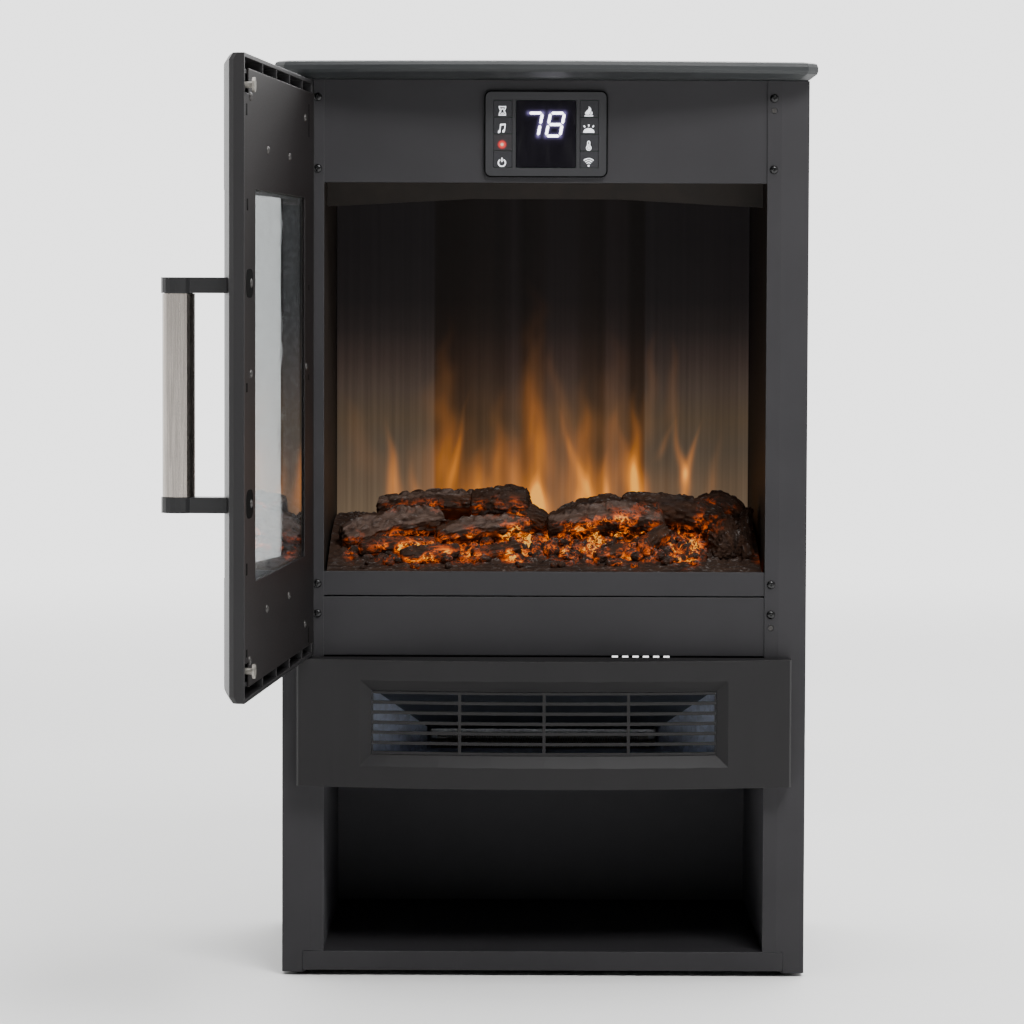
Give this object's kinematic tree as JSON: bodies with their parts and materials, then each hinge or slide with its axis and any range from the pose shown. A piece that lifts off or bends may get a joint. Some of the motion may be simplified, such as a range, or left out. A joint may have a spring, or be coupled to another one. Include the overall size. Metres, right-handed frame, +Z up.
{
  "type": "freestanding electric stove",
  "caption": "Freestanding electric stove: steel cabinet with a hinged glass door, imitation log fire, key panel, bowed fan-heater fascia and an open niche below.",
  "frame": {"origin": "floor point under the middle of the cabinet's footprint, 5 mm below the middle of the base pan's underside", "axes": "+Z up, the front faces -Y, +X to the right of someone who faces the stove"},
  "size_m": [0.5277, 0.7529, 0.788],
  "materials": {
    "coated_steel": "fine matt powder coat",
    "dark_inner_steel": "matt black",
    "plated_steel": "bright zinc plate",
    "bright_steel": "brushed lengthwise",
    "black_moulding": "fine-grained moulding",
    "gloss_black": "polished",
    "foot_rubber": "matt",
    "circuit_board": "lacquered board",
    "indicator_red": "lit lens",
    "flame_screen": "diffusing screen",
    "ember_resin": "painted translucent resin",
    "log_resin": "painted resin bark",
    "door_glass": "tempered, lightly tinted"
  },
  "bodies": {
    "cabinet": {"top_plate": "coated_steel", "side_panel_left": "coated_steel", "side_panel_right": "coated_steel", "foot_front_left": "foot_rubber", "foot_rear_left": "foot_rubber", "foot_front_right": "foot_rubber", "foot_rear_right": "foot_rubber", "base_pan": "coated_steel", "niche_floor": "coated_steel", "niche_liner": "dark_inner_steel", "heater_deck": "dark_inner_steel", "heater_fascia": "black_moulding", "outlet_grille": "black_moulding", "outlet_duct": "plated_steel", "blower_housing": "plated_steel", "blower_motor": "plated_steel", "heating_element": "plated_steel", "lower_front_panel": "coated_steel", "lower_rail": "coated_steel", "control_fascia": "coated_steel", "display_pod": "gloss_black", "display_lens": "gloss_black", "control_board": "circuit_board", "indicator_lens": "indicator_red", "fire_deck": "dark_inner_steel", "firebox_liner": "dark_inner_steel", "fire_hood": "dark_inner_steel", "flame_screen": "flame_screen", "ember_bed": "ember_resin", "log_left_rear": "log_resin", "log_right_rear": "log_resin", "log_left_front": "log_resin", "log_right_front": "log_resin", "log_centre": "log_resin", "lamp_strip": "circuit_board", "rotor_bush": "black_moulding", "rotor_motor": "plated_steel", "rear_cover": "coated_steel", "cord_inlet": "black_moulding", "hinge_bracket_lower": "coated_steel", "hinge_bracket_upper": "coated_steel", "magnet_lower": "plated_steel", "magnet_upper": "plated_steel"},
    "door": {"door_shell": "black_moulding", "door_back_plate": "coated_steel", "door_glass": "door_glass", "strike_lower": "plated_steel", "strike_upper": "plated_steel", "handle_tube": "bright_steel", "handle_bracket_lower": "black_moulding", "handle_bracket_upper": "black_moulding"},
    "blower": {"blower_wheel": "plated_steel"},
    "rotor": {"flame_rotor": "bright_steel"},
    "key_timer_body": {"key_timer": "gloss_black"},
    "key_sound_body": {"key_sound": "gloss_black"},
    "key_power_body": {"key_power": "gloss_black"},
    "key_flame_body": {"key_flame": "gloss_black"},
    "key_light_body": {"key_light": "gloss_black"},
    "key_temperature_body": {"key_temperature": "gloss_black"},
    "key_remote_body": {"key_remote": "gloss_black"}
  },
  "joints": [
    {"name": "door_hinge", "type": "hinge", "parent": "cabinet", "child": "door", "pos_m": [-0.205, -0.1733, 0.5254], "axis": [0, 0, 1], "range_deg": [-25.7, 94.3]},
    {"name": "blower_spin", "type": "hinge", "parent": "cabinet", "child": "blower", "pos_m": [0, -0.046, 0.2147], "axis": [1, 0, 0], "continuous": true},
    {"name": "flame_rotor_spin", "type": "hinge", "parent": "cabinet", "child": "rotor", "pos_m": [0, 0.127, 0.3992], "axis": [1, 0, 0], "continuous": true},
    {"name": "key_timer_press", "type": "slide", "parent": "cabinet", "child": "key_timer_body", "axis": [0, 1, 0], "range_m": [0, 0.0007], "stiffness_N_per_m": 400, "springref_m": -0.0005},
    {"name": "key_sound_press", "type": "slide", "parent": "cabinet", "child": "key_sound_body", "axis": [0, 1, 0], "range_m": [0, 0.0007], "stiffness_N_per_m": 400, "springref_m": -0.0005},
    {"name": "key_power_press", "type": "slide", "parent": "cabinet", "child": "key_power_body", "axis": [0, 1, 0], "range_m": [0, 0.0007], "stiffness_N_per_m": 400, "springref_m": -0.0005},
    {"name": "key_flame_press", "type": "slide", "parent": "cabinet", "child": "key_flame_body", "axis": [0, 1, 0], "range_m": [0, 0.0007], "stiffness_N_per_m": 400, "springref_m": -0.0005},
    {"name": "key_light_press", "type": "slide", "parent": "cabinet", "child": "key_light_body", "axis": [0, 1, 0], "range_m": [0, 0.0007], "stiffness_N_per_m": 400, "springref_m": -0.0005},
    {"name": "key_temperature_press", "type": "slide", "parent": "cabinet", "child": "key_temperature_body", "axis": [0, 1, 0], "range_m": [0, 0.0007], "stiffness_N_per_m": 400, "springref_m": -0.0005},
    {"name": "key_remote_press", "type": "slide", "parent": "cabinet", "child": "key_remote_body", "axis": [0, 1, 0], "range_m": [0, 0.0007], "stiffness_N_per_m": 400, "springref_m": -0.0005}
  ]
}
